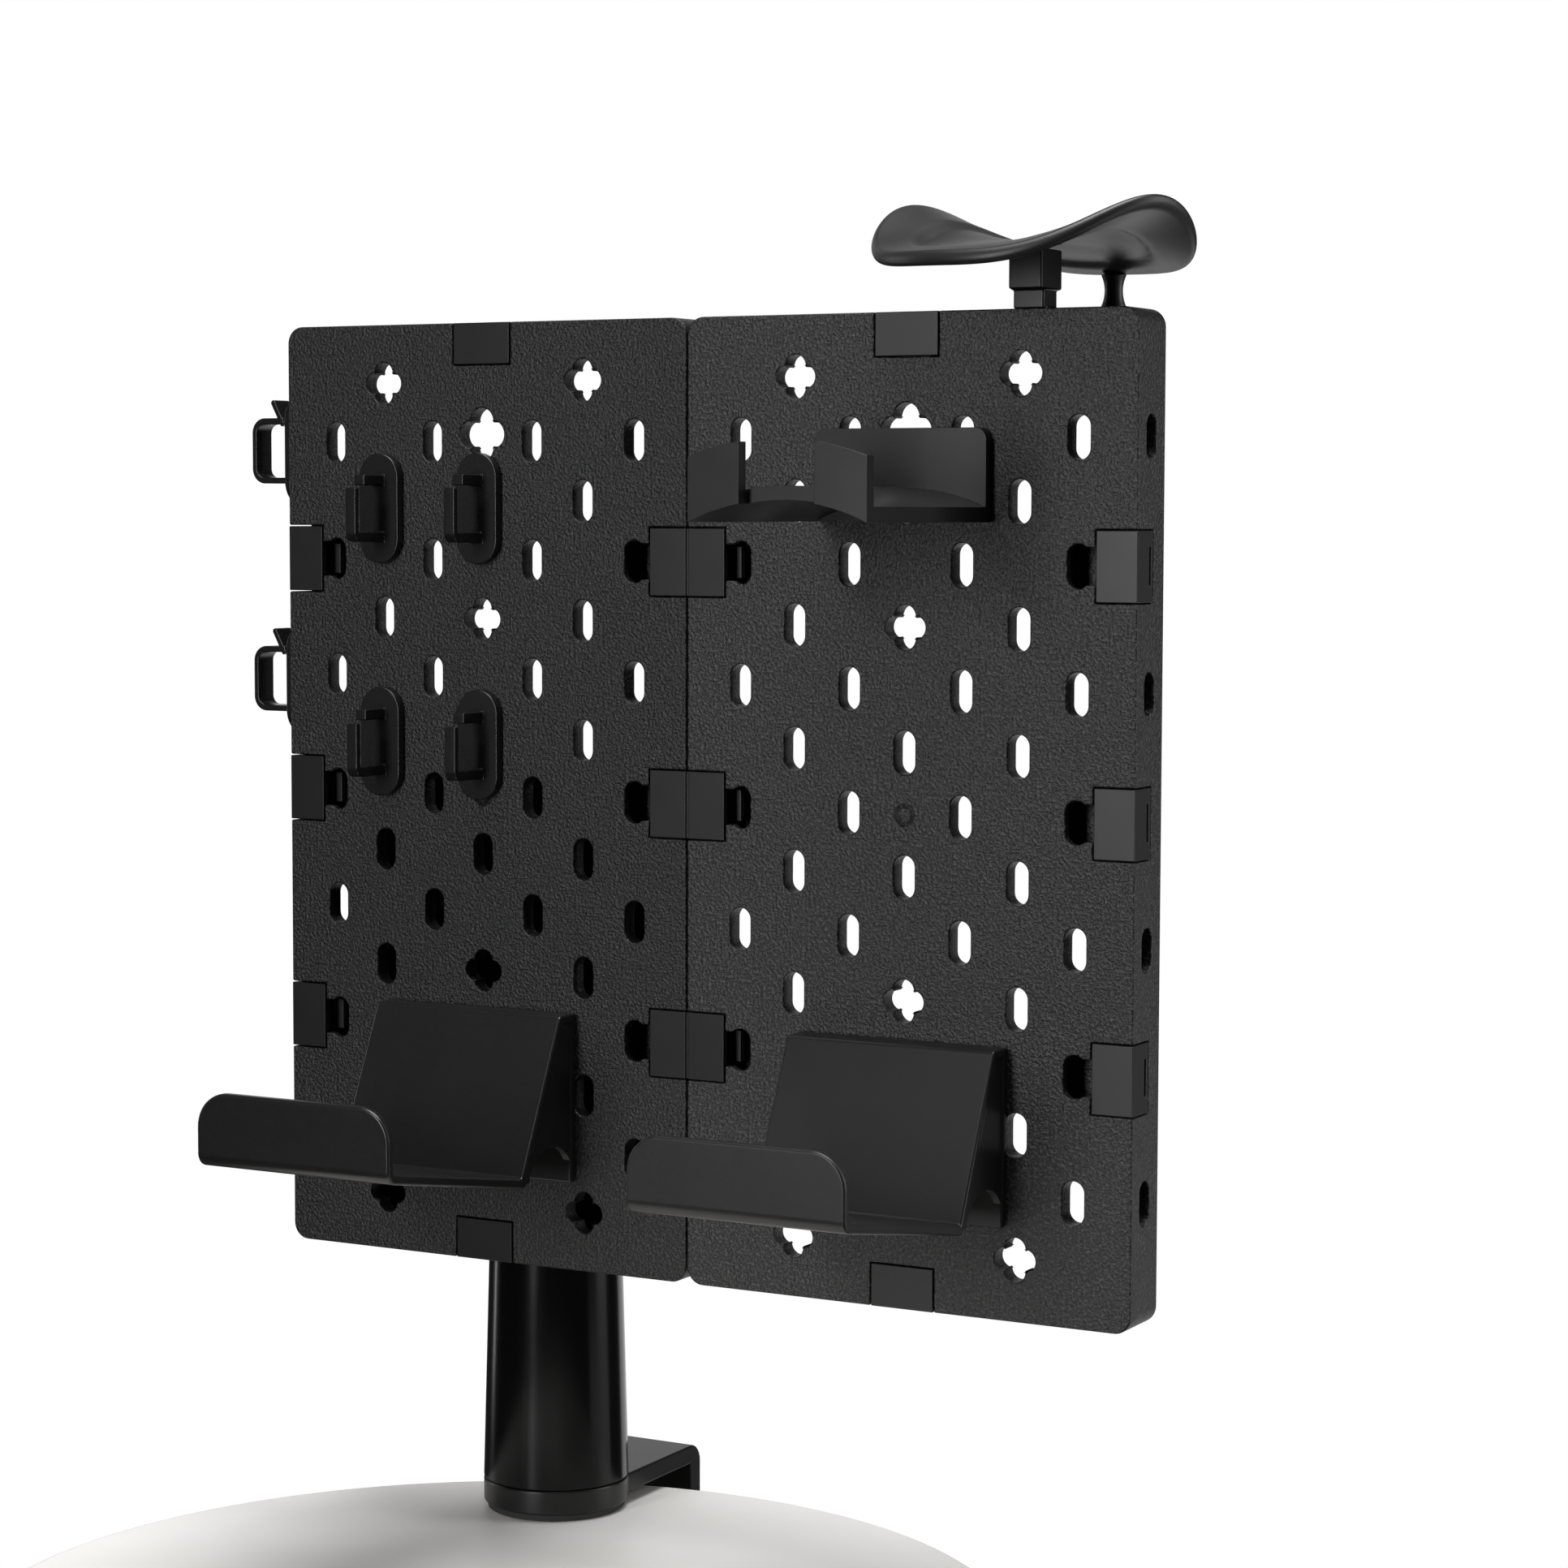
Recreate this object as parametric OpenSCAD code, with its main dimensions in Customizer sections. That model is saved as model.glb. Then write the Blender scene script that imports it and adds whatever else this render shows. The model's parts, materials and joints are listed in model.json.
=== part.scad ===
// Desk-clamp pegboard organiser: two moulded slotted panels on a tapered post,
// with lift-off cable clips, device trays, a saddle cradle and a headphone rest.
// Millimetres. Origin: desk face under the post axis. +X right, +Y back, +Z up.

/* [Panels] */
// Width of one panel
panel_w = 140; // [140:0.5:141]
// Height of one panel
panel_h = 280; // [280:0.5:281]
// Front-to-back depth of a panel
panel_t = 18.5; // [17.5:0.5:20]
// Thickness of the front skin
skin_t = 3; // [2.5:0.1:3.5]
// Thickness of the surrounding walls
wall_t = 2.6; // [2:0.1:3]
// Gap between the two panels
seam_gap = 0.4; // [0.3:0.05:0.6]
// Radius of the panel corners
corner_r = 5; // [3:0.5:6]

/* [Slots] */
// Spacing of the slots along a row
pitch = 35; // [34.5:0.1:35.5]
// Width of a slot
slot_w = 6.5; // [6.4:0.05:6.8]
// Height of a slot
slot_h = 12.3; // [12.2:0.05:12.6]
// Depth of a slot through its collar
slot_d = 6; // [5.5:0.1:6.1]
// Width of the collar wall behind the skin
collar_w = 1.6; // [1.2:0.1:2]
// Lobe radius of the medium four-lobed holes
quad_r = 3.2; // [2.9:0.1:3.4]
// Lobe radius of the large four-lobed holes
big_r = 4; // [3.6:0.1:4.2]

/* [Edge connectors] */
// Depth of a connector cap in from the panel edge
cap_in = 12.2; // [11.5:0.1:12.6]
// Length of a connector cap along the panel edge
cap_len = 19.5; // [18:0.5:20]
// Depth of a connector cap on the side face
cap_side = 10.8; // [9:0.2:12]
// Visible gap around each cap
cap_gap = 0.35; // [0.2:0.05:0.5]

/* [Post] */
// Radius of the sleeve at its foot
sleeve_r = 22.5; // [22:0.1:23]
// Radius of the sleeve at its top
sleeve_top_r = 20.4; // [20:0.1:20.8]
// Height of the board's lower edge above the desk
board_z = 84; // [82:1:100]
// Radius of the steel core tube
core_r = 14; // [13:0.5:15]
// Height of the core tube's top above the desk
core_top = 220; // [215:1:230]

/* [Desk clamp] */
// Half width of the clamp arm
arm_hw = 20; // [18:0.5:21]
// Distance from the post axis to the inside of the back plate
throat = 49.5; // [46:0.5:54]
// Height of the clamp plate's top above the desk
plate_top = 9.5; // [9:0.1:10]
// Height of the foot pad above the lower jaw when at rest
jaw_rest = 27; // [20:1:32]

/* [Cable clips] */
// Reach of a cable clip from the board
clip_out = 17.5; // [16:0.5:19]
// Height of the clip's loop
clip_h = 20; // [18:0.5:21]

/* [Device trays] */
// Width of a tray
tray_w = 65; // [60:0.5:66]
// Thickness of the tray sheet
tray_t = 2.8; // [2.4:0.1:3]
// Height of the front lip above the tray floor's underside
lip_h = 21; // [18:0.5:24]

/* [Cradle] */
// Width of the cradle
cradle_w = 53.2; // [50:0.2:56]
// Reach of the cradle from the board
cradle_out = 75; // [68:0.5:80]
// Width of the notch between the two prongs
notch_w = 22.4; // [18:0.2:26]

/* [Headphone rest] */
// Half length of the saddle
saddle_a = 46.5; // [42:0.1:48]
// Half depth of the saddle
saddle_b = 42.5; // [40:0.5:44]
// Height of the crest of each wing above the low rim
saddle_up = 16.6; // [12:0.1:18]
// Drop of the saddle's rim below its middle
saddle_down = 6; // [5:0.1:6]
// Turn of the saddle on its post
saddle_turn = -19; // [-20:1:-16]

/* [Hidden] */
$fn = 64;
bx = -panel_w / 2;                 // left edge of the left panel
by = -40.5;                        // front face of the panels
x2 = panel_w + seam_gap;           // left edge of the right panel, measured on the board
hp = pitch / 2;
low = 0.3;                         // a hook rests this far above the slot's end
neck_w = slot_w - 0.6;
neck_h = 8;
back_y = -by;                      // post axis, measured from the board's front face
top_z = panel_h;
core_y0 = plate_top + 0.2;

// ---- shared shapes -------------------------------------------------------

// Places the board's own measure: x from its left edge, y back from its face, z from its foot.
module on_board() translate([bx, by, board_z]) children();

// Stretches a flat x-z outline from y0 back to y1.
module slab(y0, y1) translate([0, y1, 0]) rotate([90, 0, 0]) linear_extrude(y1 - y0) children();

// Stretches a flat y-z outline from x0 to x1.
module side(x0, x1) translate([x0, 0, 0]) rotate([90, 0, 90]) linear_extrude(x1 - x0) children();

module tall2(w, h) {
  square([w, h - w], center = true);
  for (s = [-1, 1]) translate([0, s * (h - w) / 2]) circle(d = w);
}

module long2(w, h) rotate(90) tall2(h, w);

module box2(x0, z0, x1, z1) translate([x0, z0]) square([x1 - x0, z1 - z0]);

module round2(x0, z0, x1, z1, r) {
  box2(x0 + r, z0, x1 - r, z1);
  box2(x0, z0 + r, x1, z1 - r);
  for (x = [x0 + r, x1 - r], z = [z0 + r, z1 - r]) translate([x, z]) circle(r = r);
}

// Four lobes around a square middle.
module lobes2(r, grow = 0) {
  square(2 * r + 2 * grow, center = true);
  for (a = [0:90:270]) rotate(a) translate([0.95 * r, 0]) circle(r = r + grow);
}

// ---- panel ---------------------------------------------------------------

function row_z(r) = panel_h - hp * (r + 1);
function col_x(c) = hp * (c + 1);

module slots2(grow = 0) {
  w = slot_w + 2 * grow;
  h = slot_h + 2 * grow;
  for (r = [1:2:13], c = [0:2:6]) translate([col_x(c), row_z(r)]) tall2(w, h);
  for (r = [2:2:12], c = [1:2:5]) if (c != 3 || (r != 4 && r != 10))
    translate([col_x(c), row_z(r)]) tall2(w, h);
}

module quads2(grow = 0) {
  for (c = [1, 5], r = [0, 14]) translate([col_x(c), row_z(r)]) lobes2(quad_r, grow);
  for (r = [4, 10]) translate([col_x(3), row_z(r)]) lobes2(quad_r, grow);
  for (s = [-1, 1]) translate([panel_w / 2, panel_h / 2 + s * 107.1]) lobes2(big_r, grow);
}

// Openings in the skin for the edge connectors and their finger channels.
module ports2() {
  for (r = [3, 7, 11]) {
    for (s = [0, 1]) translate([s * panel_w, row_z(r)]) {
      square([2 * (cap_in + cap_gap), cap_len + 2 * cap_gap], center = true);
      square([2 * col_x(0), 10.3], center = true);
    }
  }
  for (z = [0, panel_h]) translate([panel_w / 2, z])
    square([cap_len + 2 * cap_gap, 2 * (cap_in + cap_gap)], center = true);
}

module edge_holes() {
  for (r = [1:4:13], s = [0, 1]) translate([s * panel_w, 9, row_z(r)]) rotate([0, 90, 0])
    linear_extrude(2 * slot_d, center = true) long2(slot_h + 0.2, slot_w);
  for (c = [1, 5], z = [0, panel_h]) translate([col_x(c), 9, z])
    linear_extrude(2 * slot_d, center = true) long2(slot_h + 0.2, slot_w);
}

module boss_at() for (x = [col_x(1), col_x(5)], z = [70, 140, 210]) translate([x, z]) children();

module panel() {
  difference() {
    union() {
      slab(0, skin_t) difference() {
        round2(0, 0, panel_w, panel_h, corner_r);
        slots2(); quads2(); ports2();
      }
      slab(skin_t - 0.5, slot_d) difference() {
        union() { slots2(collar_w); quads2(collar_w); }
        slots2(); quads2(); ports2();
        for (s = [0, 1], r = [3, 7, 11]) translate([s * panel_w, row_z(r)])
          square([2 * col_x(0) + 9, 20], center = true);
      }
      slab(skin_t - 0.5, panel_t) difference() {
        round2(0, 0, panel_w, panel_h, corner_r);
        round2(wall_t, wall_t, panel_w - wall_t, panel_h - wall_t, corner_r - wall_t);
      }
      // closed pockets behind the side connectors
      for (s = [0, 1], r = [3, 7, 11]) translate([s * (panel_w - 24), 0, row_z(r)]) {
        slab(skin_t - 0.5, 13) difference() { box2(0, -13, 24, 13); box2(1.5, -11.5, 22.5, 11.5); }
        slab(11.5, 13) box2(0, -13, 24, 13);
      }
      // closed pockets behind the upper and lower connectors
      for (s = [0, 1]) translate([panel_w / 2, 0, s * (panel_h - 16)]) {
        slab(skin_t - 0.5, 13) difference() { box2(-13, 0, 13, 16); box2(-11.5, 1.5, 11.5, 14.5); }
        slab(11.5, 13) box2(-13, 0, 13, 16);
      }
      // collars of the holes in the edges
      for (r = [1:4:13], s = [0, 1]) translate([s * (panel_w - slot_d), 0, row_z(r)])
        slab(skin_t - 0.5, 14.5) box2(0, -8.5, slot_d, 8.5);
      for (c = [1, 5], s = [0, 1]) translate([col_x(c), 0, s * (panel_h - slot_d)])
        slab(skin_t - 0.5, 14.5) box2(-8.5, 0, 8.5, slot_d);
      slab(skin_t - 0.5, panel_t) boss_at() circle(d = 10);
      // stiffening ribs
      slab(skin_t - 0.5, 5.4) for (x = [26.25, panel_w - 26.25])
        box2(x - 0.8, wall_t, x + 0.8, panel_h - wall_t);
    }
    edge_holes();
    // notches for the caps in the side, upper and lower walls
    for (r = [3, 7, 11]) for (s = [0, 1]) translate([s * panel_w, 0, row_z(r)])
      slab(-1, cap_side + cap_gap) square([2 * wall_t + 0.2, cap_len + 2 * cap_gap], center = true);
    for (z = [0, panel_h]) translate([panel_w / 2, 0, z])
      slab(-1, cap_side + cap_gap) square([cap_len + 2 * cap_gap, 2 * wall_t + 0.2], center = true);
    // pilot holes in the bosses
    slab(6.5, panel_t + 1) boss_at() circle(d = 3);
    // moulded ring in the middle of the face
    slab(-1, 0.5) translate([panel_w / 2, panel_h / 2]) difference() {
      circle(d = 6);
      circle(d = 4.5);
    }
  }
}

module left_panel() color([0.09, 0.09, 0.095]) on_board() panel();
module right_panel() color([0.09, 0.09, 0.095]) on_board() translate([x2, 0, 0]) panel();

// ---- edge connectors -----------------------------------------------------

// A cap for the left edge at height z: face, side leaf with its release slit, and a snap arm.
module edge_cap(z) translate([0, 0, z]) {
  slab(0, 2.2) box2(0, -cap_len / 2, cap_in, cap_len / 2);
  difference() {
    slab(0, cap_side) box2(0, -cap_len / 2, 2.2, cap_len / 2);
    translate([-1, cap_side - 2.6, -5.3]) cube([4, 1, 10.6]);
  }
  for (s = [-1, 1]) translate([0, 0, s * 6.2]) slab(2, 9) box2(3, -0.9, 11.2, 0.9);
  slab(6.4, 8.4) box2(11, -4.6, 14.5, 4.6);
  slab(2, 8.4) box2(9.4, -4.6, 11.2, 4.6);
}

module at_edge(r, right = false) on_board()
  translate([right ? x2 + panel_w : 0, 0, 0]) mirror([right ? 1 : 0, 0, 0]) edge_cap(row_z(r));

// A cap for the upper edge of a panel; turned over it fits the lower edge.
module flat_cap(x, upper) on_board() translate([x, 0, upper ? top_z : 0]) mirror([0, 0, upper ? 0 : 1])
  rotate([0, 90, 0]) edge_cap(0);

module join_clip(r) on_board() translate([panel_w + seam_gap / 2, 0, row_z(r)]) {
  w = cap_in + seam_gap / 2;
  difference() {
    slab(0, 2.2) box2(-w, -cap_len / 2, w, cap_len / 2);
    slab(-1, 0.5) box2(-0.35, -20, 0.35, 20);
  }
  for (s = [-1, 1]) mirror([s < 0 ? 1 : 0, 0, 0]) {
    for (t = [-1, 1]) translate([0, 0, t * 6.2]) slab(2, 9) box2(0.8, -0.9, 11.2, 0.9);
    slab(6.4, 8.4) box2(11, -4.6, 14.5, 4.6);
    slab(2, 8.4) box2(9.4, -4.6, 11.2, 4.6);
  }
  slab(2, 9) box2(-1.2, -7.1, 1.2, 7.1);
}

module join_clip_top() color([0.08, 0.08, 0.085]) join_clip(3);
module join_clip_middle() color([0.08, 0.08, 0.085]) join_clip(7);
module join_clip_bottom() color([0.08, 0.08, 0.085]) join_clip(11);
module cap_left_top() color([0.08, 0.08, 0.085]) at_edge(3);
module cap_left_middle() color([0.08, 0.08, 0.085]) at_edge(7);
module cap_left_bottom() color([0.08, 0.08, 0.085]) at_edge(11);
module cap_right_top() color([0.08, 0.08, 0.085]) at_edge(3, true);
module cap_right_middle() color([0.08, 0.08, 0.085]) at_edge(7, true);
module cap_right_bottom() color([0.08, 0.08, 0.085]) at_edge(11, true);
module cap_upper_left() color([0.08, 0.08, 0.085]) flat_cap(panel_w / 2, true);
module cap_upper_right() color([0.08, 0.08, 0.085]) flat_cap(x2 + panel_w / 2, true);
module cap_lower_left() color([0.08, 0.08, 0.085]) flat_cap(panel_w / 2, false);
module cap_lower_right() color([0.08, 0.08, 0.085]) flat_cap(x2 + panel_w / 2, false);

// ---- mount behind the left panel ------------------------------------------

plate_y = panel_t + 0.1;
module screws_at() for (x = [col_x(1), col_x(5)], z = [70, 140]) translate([x, z]) children();
module bolts_at() for (x = [45, 95], z = [44, 104]) translate([x, z]) children();

module mount_plate() color([0.12, 0.12, 0.125]) on_board() slab(plate_y, plate_y + 3) difference() {
  round2(14, 8, 126, 148, 6);
  screws_at() circle(d = 4.4);
  bolts_at() circle(d = 5.4);
}

module plate_screws() color([0.3, 0.3, 0.32]) on_board() {
  slab(8, plate_y + 3.2) screws_at() circle(d = 2.8);
  slab(plate_y + 3.1, plate_y + 5.3) screws_at() difference() { circle(d = 7.6); circle(d = 3.6, $fn = 6); }
  slab(plate_y + 3.1, plate_y + 3.9) screws_at() circle(d = 3.8);
}

module swivel_bracket() color([0.1, 0.1, 0.105]) on_board() {
  difference() {
    union() {
      slab(plate_y + 3.1, plate_y + 8) difference() {
        round2(39.4, 34, 100.6, 114, 5);
        bolts_at() circle(d = 5.4);
      }
      slab(plate_y + 7, back_y) box2(56, 34, 84, 114);
      translate([panel_w / 2, back_y, 34]) cylinder(r = 21, h = 80);
    }
    translate([panel_w / 2, back_y, 0]) cylinder(r = core_r + 2.2, h = 200);
    translate([30, plate_y - 6, 20]) cube([80, 9.1, 120]);
  }
}

module bracket_bolts() color([0.3, 0.3, 0.32]) on_board() {
  slab(plate_y, plate_y + 8.2) bolts_at() circle(d = 5);
  slab(plate_y + 8.1, plate_y + 12.6) bolts_at() difference() { circle(d = 8.5); circle(d = 4.6, $fn = 6); }
}

module swivel_bush() color([0.75, 0.75, 0.72]) on_board() translate([panel_w / 2, back_y, 34]) difference() {
  cylinder(r = core_r + 2.1, h = 80);
  translate([0, 0, -1]) cylinder(r = core_r + 0.3, h = 90);
}

// ---- post ------------------------------------------------------------------

module core_tube() color([0.2, 0.2, 0.21]) difference() {
  translate([0, 0, core_y0]) cylinder(r = core_r, h = core_top - core_y0);
  translate([0, 0, core_y0 + 12]) cylinder(r = core_r - 3, h = core_top);
  translate([0, 0, core_y0 - 1]) cylinder(d = 8.4, h = 20);
}

module core_plug() color([0.1, 0.1, 0.1]) translate([0, 0, core_top + 0.1]) {
  cylinder(r = core_r + 0.4, h = 2.4);
  translate([0, 0, -10]) cylinder(r = core_r - 3.1, h = 10.5);
}

module stop_ring() color([0.12, 0.12, 0.12]) translate([0, 0, board_z + 22]) difference() {
  union() {
    cylinder(r = core_r + 4, h = 11.5);
    translate([-6, 4, 0]) cube([12, core_r + 5, 11.5]);
  }
  translate([0, 0, -1]) cylinder(r = core_r + 0.1, h = 20);
  translate([0, 12, 5.75]) rotate([-90, 0, 0]) cylinder(d = 5.2, h = 20);
}

module stop_screw() color([0.3, 0.3, 0.32])
  translate([0, core_r + 0.15, board_z + 27.75]) rotate([-90, 0, 0])
  difference() { cylinder(d = 5, h = 8.4); translate([0, 0, 5.4]) cylinder(d = 2.9, h = 5, $fn = 6); }

module post_sleeve() color([0.05, 0.05, 0.052]) difference() {
  translate([0, 0, core_y0]) cylinder(r1 = sleeve_r, r2 = sleeve_top_r, h = board_z + 4 - core_y0, $fn = 128);
  translate([0, 0, core_y0 - 1]) cylinder(r = core_r + 1.5, h = 120);
}

module sleeve_cap() color([0.08, 0.08, 0.08]) translate([0, 0, board_z + 4.1]) difference() {
  cylinder(r = sleeve_top_r, h = 2);
  translate([0, 0, -1]) cylinder(r = core_r + 0.1, h = 6);
}

// ---- desk clamp ------------------------------------------------------------

plate_z = 3.5;                       // underside of the clamp arm
jaw_top = -72;                       // top of the lower jaw
foot_y = 10;                         // screw axis behind the post axis
foot_top = -jaw_rest;

module clamp_body() color([0.07, 0.07, 0.072]) {
  difference() {
    union() {
      translate([0, 0, 2]) cylinder(r = sleeve_r, h = plate_top - 2, $fn = 128);
      side(-arm_hw, arm_hw) {
        box2(0, plate_z, throat, plate_top);
        intersection() {
          translate([throat, plate_z]) circle(r = 6);
          box2(throat, plate_z, throat + 6, plate_z + 6);
        }
        box2(throat, -66, throat + 6, plate_z);
      }
    }
    translate([0, 0, -1]) cylinder(d = 8.4, h = 20);
    translate([0, 0, 1]) cylinder(d = 14.4, h = 5.2);
    for (x = [-11, 11]) translate([x, throat - 1, -48]) rotate([-90, 0, 0]) cylinder(d = 6.4, h = 9);
  }
}

module desk_pad() color([0.03, 0.03, 0.03]) cylinder(r = sleeve_r - 1.2, h = 1.9);

module post_bolt() color([0.35, 0.35, 0.36]) {
  translate([0, 0, 6]) cylinder(d = 8, h = 17);
  translate([0, 0, 2.1]) difference() {
    cylinder(d = 13.6, h = 4);
    translate([0, 0, -1]) cylinder(d = 6.9, h = 3.6, $fn = 6);
  }
}

module lower_jaw() color([0.07, 0.07, 0.072]) difference() {
  union() {
    side(-arm_hw, arm_hw) {
      box2(throat + 6.1, jaw_top, throat + 11.1, -30);
      box2(-6, jaw_top - 6, throat + 6, jaw_top);
      intersection() {
        translate([throat + 5.1, jaw_top]) circle(r = 6);
        box2(throat + 5.1, jaw_top - 6, throat + 11.1, jaw_top);
      }
    }
    translate([0, foot_y, jaw_top - 6]) cylinder(r = arm_hw - 4, h = 5);
  }
  translate([0, foot_y, jaw_top - 10]) cylinder(d = 10.8, h = 20);
  for (x = [-11, 11]) translate([x, throat + 3, -48]) rotate([-90, 0, 0]) cylinder(d = 6.4, h = 12);
}

module jaw_bolts() color([0.35, 0.35, 0.36]) for (x = [-11, 11]) translate([x, 0, -48]) {
  translate([0, throat - 2.4, 0]) rotate([-90, 0, 0]) cylinder(d = 6, h = 14);
  translate([0, throat - 2.6, 0]) rotate([-90, 0, 0]) cylinder(d = 11, h = 2.5);
  translate([0, throat + 11.2, 0]) rotate([-90, 0, 0]) difference() {
    cylinder(d = 11, h = 5);
    translate([0, 0, 2]) cylinder(d = 5.8, h = 5, $fn = 6);
  }
}

module jaw_nut() color([0.35, 0.35, 0.36]) translate([0, foot_y, jaw_top + 0.1]) difference() {
  cylinder(d = 19, h = 7, $fn = 6);
  translate([0, 0, -1]) cylinder(d = 10.8, h = 10);
}

module clamp_foot() color([0.2, 0.2, 0.21]) translate([0, foot_y, foot_top - 1.6 - 6]) difference() {
  union() {
    cylinder(r = 8.5, h = 3);
    translate([0, 0, 2.9]) cylinder(r = 17, h = 3);
  }
  translate([0, 0, -1]) cylinder(r = 4.3, h = 4.8);
}

module foot_pad() color([0.03, 0.03, 0.03])
  translate([0, foot_y, foot_top - 1.6]) cylinder(r = 16.4, h = 1.6);

module clamp_screw() color([0.45, 0.45, 0.47]) translate([0, foot_y, 0]) {
  translate([0, 0, foot_top - 8.2]) cylinder(r = 4, h = 3.9);
  translate([0, 0, -122]) cylinder(r = 5.1, h = 122 + foot_top - 8);
}

module clamp_knob() color([0.06, 0.06, 0.062]) translate([0, foot_y, -126]) {
  difference() {
    union() {
      cylinder(r = 15, h = 15);
      for (a = [0:60:300]) rotate(a) translate([14, 0, 0]) cylinder(r = 4.5, h = 15);
      translate([0, 0, 14.9]) cylinder(r = 8.5, h = 4);
    }
    translate([0, 0, 4]) cylinder(r = 5.15, h = 20);
    for (a = [30:60:330]) rotate(a) translate([19.5, 0, -1]) cylinder(r = 5, h = 30);
  }
}

// ---- hooks -----------------------------------------------------------------

// Neck and drop lip of an accessory hanging in the slot centred at x, z.
module hook(x, z, back = slot_d) {
  cz = z - slot_h / 2 + low + neck_h / 2;
  translate([x, 0, cz]) {
    slab(-0.5, back + 0.6) tall2(neck_w, neck_h);
    translate([0, 0, -1.8]) slab(back + 0.4, back + 2.9) tall2(neck_w, neck_h + 3.6);
  }
}

hang = -slot_h / 2 + low + neck_h / 2;   // an accessory's hook sits this far below its slot

// ---- cable clips -----------------------------------------------------------

// Open clip: the upper arm stops short, so a cable drops in past the front wall.
module open_clip(x, z) {
  hook(x, z);
  translate([x, 0, z + hang - 0.4]) {
    slab(-3, -0.15) tall2(14.2, 32.8);
    side(-2, 2) {
      box2(-12.8, clip_h / 2 - 3.2, -2.8, clip_h / 2);
      box2(-clip_out + 3, -clip_h / 2, -2.8, -clip_h / 2 + 3);
      box2(-clip_out, -clip_h / 2 + 3, -clip_out + 1.9, clip_h / 2 - 3.9);
      intersection() {
        translate([-clip_out + 3, -clip_h / 2 + 3]) circle(r = 3);
        box2(-clip_out, -clip_h / 2, -clip_out + 3, -clip_h / 2 + 3);
      }
    }
  }
}

// Snap clip for a side edge: a closed loop except for the sprung finger at its root.
module snap_clip(z) rotate([0, 0, -90]) translate([-9, 0, 0]) {
  hook(0, z);
  translate([0, 0, z + hang - 0.4]) {
    slab(-3, -0.15) tall2(14.2, 32.8);
    side(-3.9, 3.9) difference() {
      union() {
        difference() {
          round2(-clip_out, -clip_h / 2, 0, clip_h / 2, 4.5);
          round2(-clip_out + 1.8, -clip_h / 2 + 1.8, -1, clip_h / 2 - 1.8, 2.8);
          box2(-5.6, clip_h / 2 - 4, 1, clip_h / 2 + 1);
          box2(-2.9, -clip_h, 1, clip_h);
        }
        // flared finger
        translate([-6.4, clip_h / 2 - 1.2]) rotate(118) box2(-1.2, -0.9, 6.6, 0.9);
        translate([-6.4, clip_h / 2 - 1.2]) rotate(118) translate([6.6, 0]) circle(r = 0.9);
      }
      box2(-2.9, -clip_h, 1, clip_h);
    }
  }
}

module cable_clip_1() color([0.06, 0.06, 0.062]) on_board() open_clip(col_x(1), row_z(2));
module cable_clip_2() color([0.06, 0.06, 0.062]) on_board() open_clip(col_x(3), row_z(2));
module cable_clip_3() color([0.06, 0.06, 0.062]) on_board() open_clip(col_x(1), row_z(6));
module cable_clip_4() color([0.06, 0.06, 0.062]) on_board() open_clip(col_x(3), row_z(6));
module edge_clip_1() color([0.06, 0.06, 0.062]) on_board() snap_clip(row_z(1));
module edge_clip_2() color([0.06, 0.06, 0.062]) on_board() snap_clip(row_z(5));

// ---- device trays ----------------------------------------------------------

// Straight wall of sheet between two points of the y-z outline.
module sheet2(p, q, t) {
  d = q - p;
  translate(p) rotate(atan2(d[1], d[0])) translate([0, -t / 2]) square([norm(d), t]);
}

module tray(x) {
  ht = tray_t / 2;
  fold = [-7.3, 75.2];               // centre of the rounded top corner
  a = [-7.66, 75.37];
  b = [-28.3, 30.4];
  c = [-93.9, 42.1];
  f = -97;
  translate([x, 0, 0]) {
    side(-tray_w / 2, tray_w / 2) {
      sheet2(a, b, tray_t);
      translate(b) circle(r = ht);
      sheet2(b, c, tray_t);
      translate(fold) circle(r = 1.8);
      box2(fold[0], 74.2, -0.15, fold[1] + 1.8);
      box2(-2.95, 26.6, -0.15, 75);
      difference() {
        intersection() {
          translate([f + 4, 44.6]) circle(r = 4);
          box2(f, 40, f + 4.2, 44.6);
        }
        translate([f + 4, 44.6]) circle(r = 1.4);
      }
    }
    slab(f, f + tray_t) difference() {
      union() {
        box2(-tray_w / 2, 44.4, tray_w / 2, 41 + lip_h - 10);
        box2(-tray_w / 2 + 10, 44.4, tray_w / 2 - 10, 41 + lip_h);
        for (s = [-1, 1]) translate([s * (tray_w / 2 - 10), 41 + lip_h - 10]) circle(r = 10);
      }
      translate([-60, 30]) square([120, 14.4]);
    }
    for (s = [-1, 1]) translate([s * (tray_w / 2 - 1.3), 0, 0]) side(-1.3, 1.3) difference() {
      polygon([[-0.15, 26.6], [-0.15, 76], a, b]);
      translate([-13.3, 26.4]) circle(r = 12.6);
    }
    for (s = [-1, 1]) hook(s * hp, 70);
  }
}

module tray_left() color([0.06, 0.06, 0.062]) on_board() tray(panel_w / 2);
module tray_right() color([0.07, 0.07, 0.072]) on_board() tray(x2 + panel_w / 2);

// ---- cradle ------------------------------------------------------------------

arch_r = 67;
arch_z = 231.5 - arch_r;

// The arched floor's outline, or the front wall's with up set to its height above the floor.
module cradle_arc2(up) intersection() {
  translate([0, arch_z]) difference() {
    circle(r = arch_r + up, $fn = 128);
    circle(r = arch_r - 3.8, $fn = 128);
  }
  box2(-cradle_w / 2, 215, cradle_w / 2, 250);
}

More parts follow.
